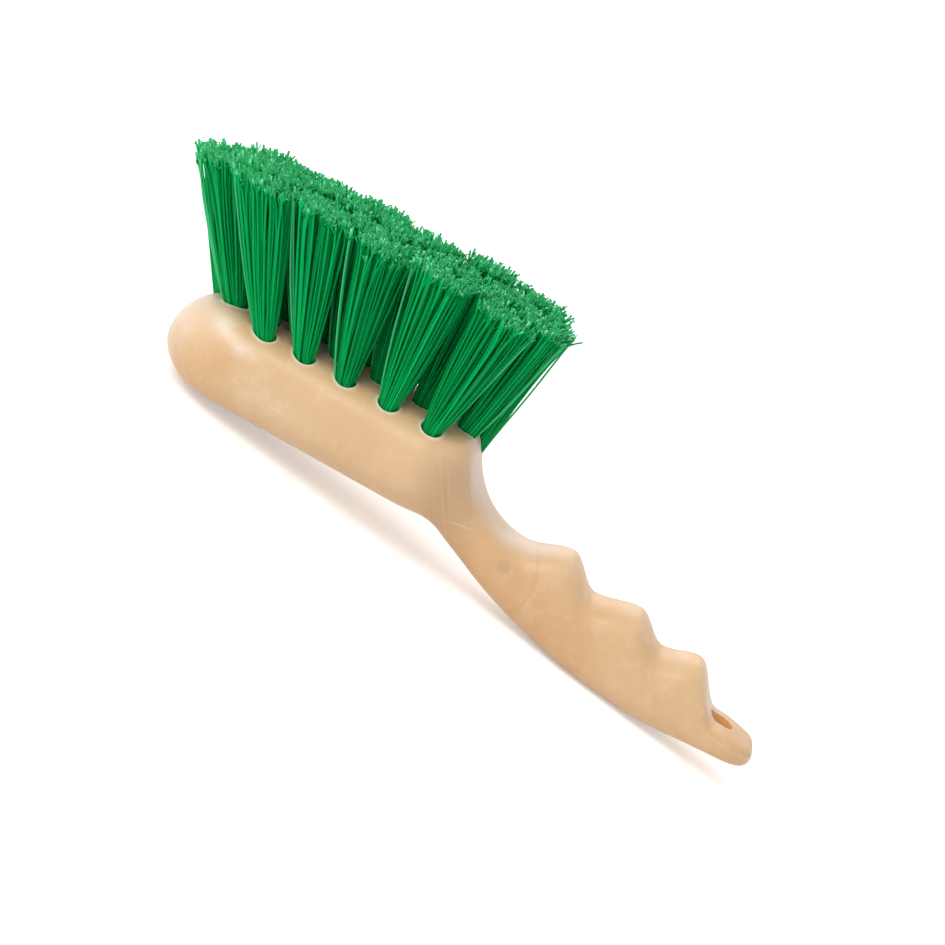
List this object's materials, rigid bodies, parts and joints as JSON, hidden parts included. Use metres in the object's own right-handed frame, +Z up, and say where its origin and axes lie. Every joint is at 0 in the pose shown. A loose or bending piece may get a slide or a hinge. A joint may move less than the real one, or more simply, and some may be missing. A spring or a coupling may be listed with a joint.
{
  "type": "scrub brush",
  "caption": "Short-handled scrub brush: tan moulded block with a drop handle, finger hollows and a hanging hole, set with a fan of green synthetic bristle tufts.",
  "frame": {"origin": "bottom centre of the bounding box, with the brush lying on its back on a table", "axes": "+X from the toe to the handle end, +Y across the block, +Z up, the way the bristles point"},
  "size_m": [0.2502, 0.0571, 0.0821],
  "materials": {
    "tan_plastic": "satin",
    "green_bristle": "satin",
    "anchor_wire": "satin"
  },
  "bodies": {
    "root": {"handle_block": "tan_plastic", "tuft_near_outer_1": "green_bristle", "tuft_near_outer_2": "green_bristle", "tuft_near_outer_3": "green_bristle", "tuft_near_outer_4": "green_bristle", "tuft_near_outer_5": "green_bristle", "tuft_near_inner_1": "green_bristle", "tuft_near_inner_2": "green_bristle", "tuft_near_inner_3": "green_bristle", "tuft_near_inner_4": "green_bristle", "tuft_near_inner_5": "green_bristle", "tuft_near_inner_6": "green_bristle", "tuft_near_inner_7": "green_bristle", "tuft_far_inner_1": "green_bristle", "tuft_far_inner_2": "green_bristle", "tuft_far_inner_3": "green_bristle", "tuft_far_inner_4": "green_bristle", "tuft_far_inner_5": "green_bristle", "tuft_far_inner_6": "green_bristle", "tuft_far_inner_7": "green_bristle", "tuft_far_inner_8": "green_bristle", "tuft_far_outer_1": "green_bristle", "tuft_far_outer_2": "green_bristle", "tuft_far_outer_3": "green_bristle", "tuft_far_outer_4": "green_bristle", "tuft_far_outer_5": "green_bristle", "tuft_far_outer_6": "green_bristle", "anchors_near_outer": "anchor_wire", "anchors_near_inner": "anchor_wire", "anchors_far_inner": "anchor_wire", "anchors_far_outer": "anchor_wire"}
  },
  "joints": []
}
